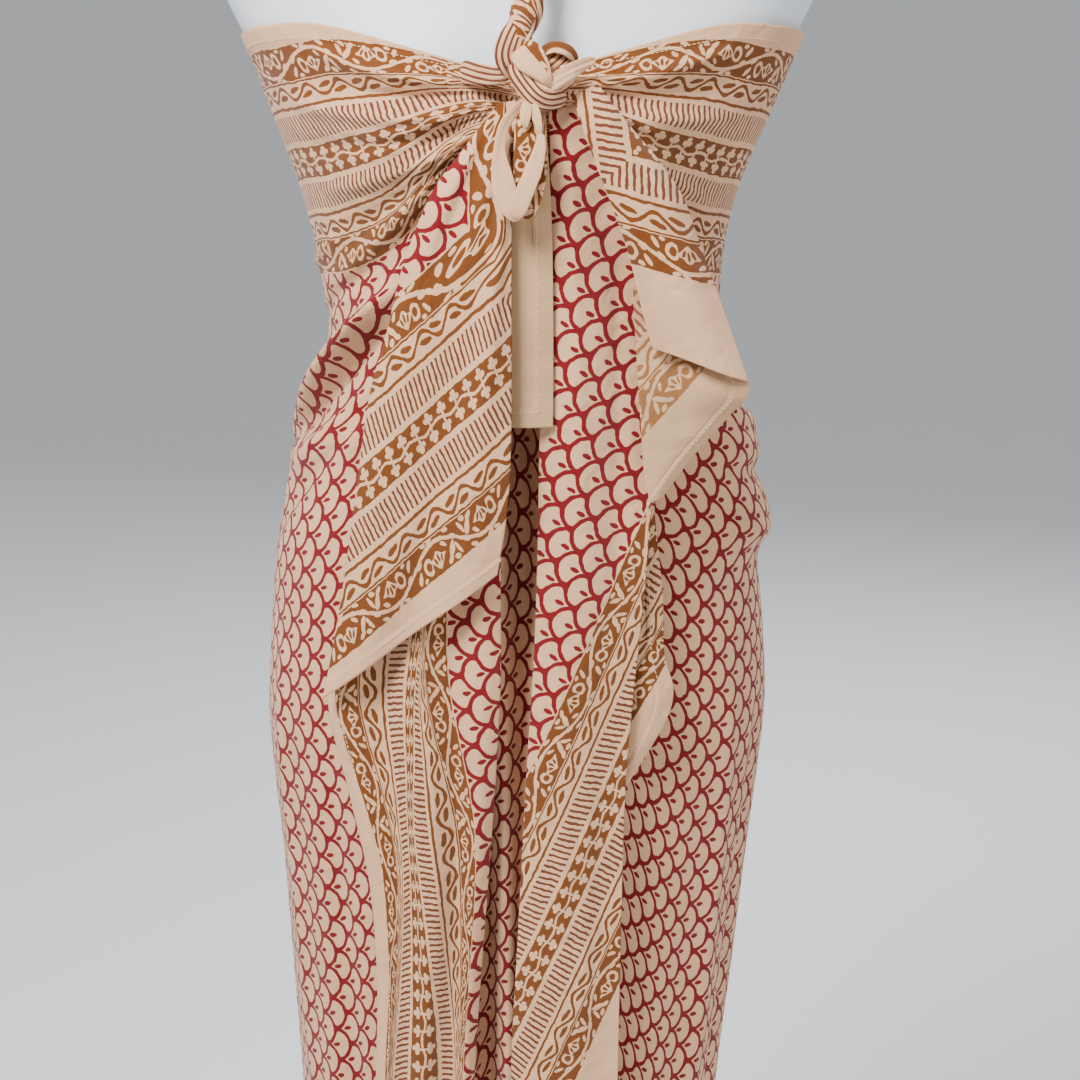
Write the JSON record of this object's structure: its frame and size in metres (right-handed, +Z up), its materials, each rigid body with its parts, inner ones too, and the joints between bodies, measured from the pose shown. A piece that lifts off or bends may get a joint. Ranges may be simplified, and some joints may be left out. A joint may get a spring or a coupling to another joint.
{
  "type": "sarong on a dress form",
  "caption": "Block-printed cotton sarong tied at the bust as a halter dress, its ends falling in front, worn on a white limbless dress form with a round stand",
  "frame": {"origin": "middle of the underside of the stand's base, on the floor", "axes": "+Z up, -Y toward the front where the knot is, +X to the viewer's right"},
  "size_m": [0.4102, 0.3318, 1.512],
  "materials": {
    "wrap": "block printed cotton, fine plain weave",
    "left_fall_upper": "block printed cotton, fine plain weave",
    "left_fall_lower": "block printed cotton, fine plain weave",
    "centre_panel": "block printed cotton, fine plain weave",
    "right_fall_upper": "block printed cotton, fine plain weave",
    "right_fall_turned": "block printed cotton, fine plain weave",
    "right_fall_lower": "block printed cotton, fine plain weave",
    "hanging_end": "block printed cotton, fine plain weave",
    "knot": "block printed cotton, fine plain weave",
    "knot_loop": "block printed cotton, fine plain weave",
    "halter_rope": "block printed cotton, fine plain weave",
    "neck_ring": "block printed cotton, fine plain weave",
    "form": "smooth matte white",
    "stand": "satin"
  },
  "bodies": {
    "root": {"wrap": "wrap", "left_fall_upper": "left_fall_upper", "left_fall_lower": "left_fall_lower", "centre_panel": "centre_panel", "right_fall_upper": "right_fall_upper", "right_fall_turned": "right_fall_turned", "right_fall_lower": "right_fall_lower", "hanging_end": "hanging_end", "knot": "knot", "knot_loop": "knot_loop", "halter_rope": "halter_rope", "neck_ring": "neck_ring", "dress_form": "form", "stand_pole": "stand", "stand_base": "stand"}
  },
  "joints": []
}
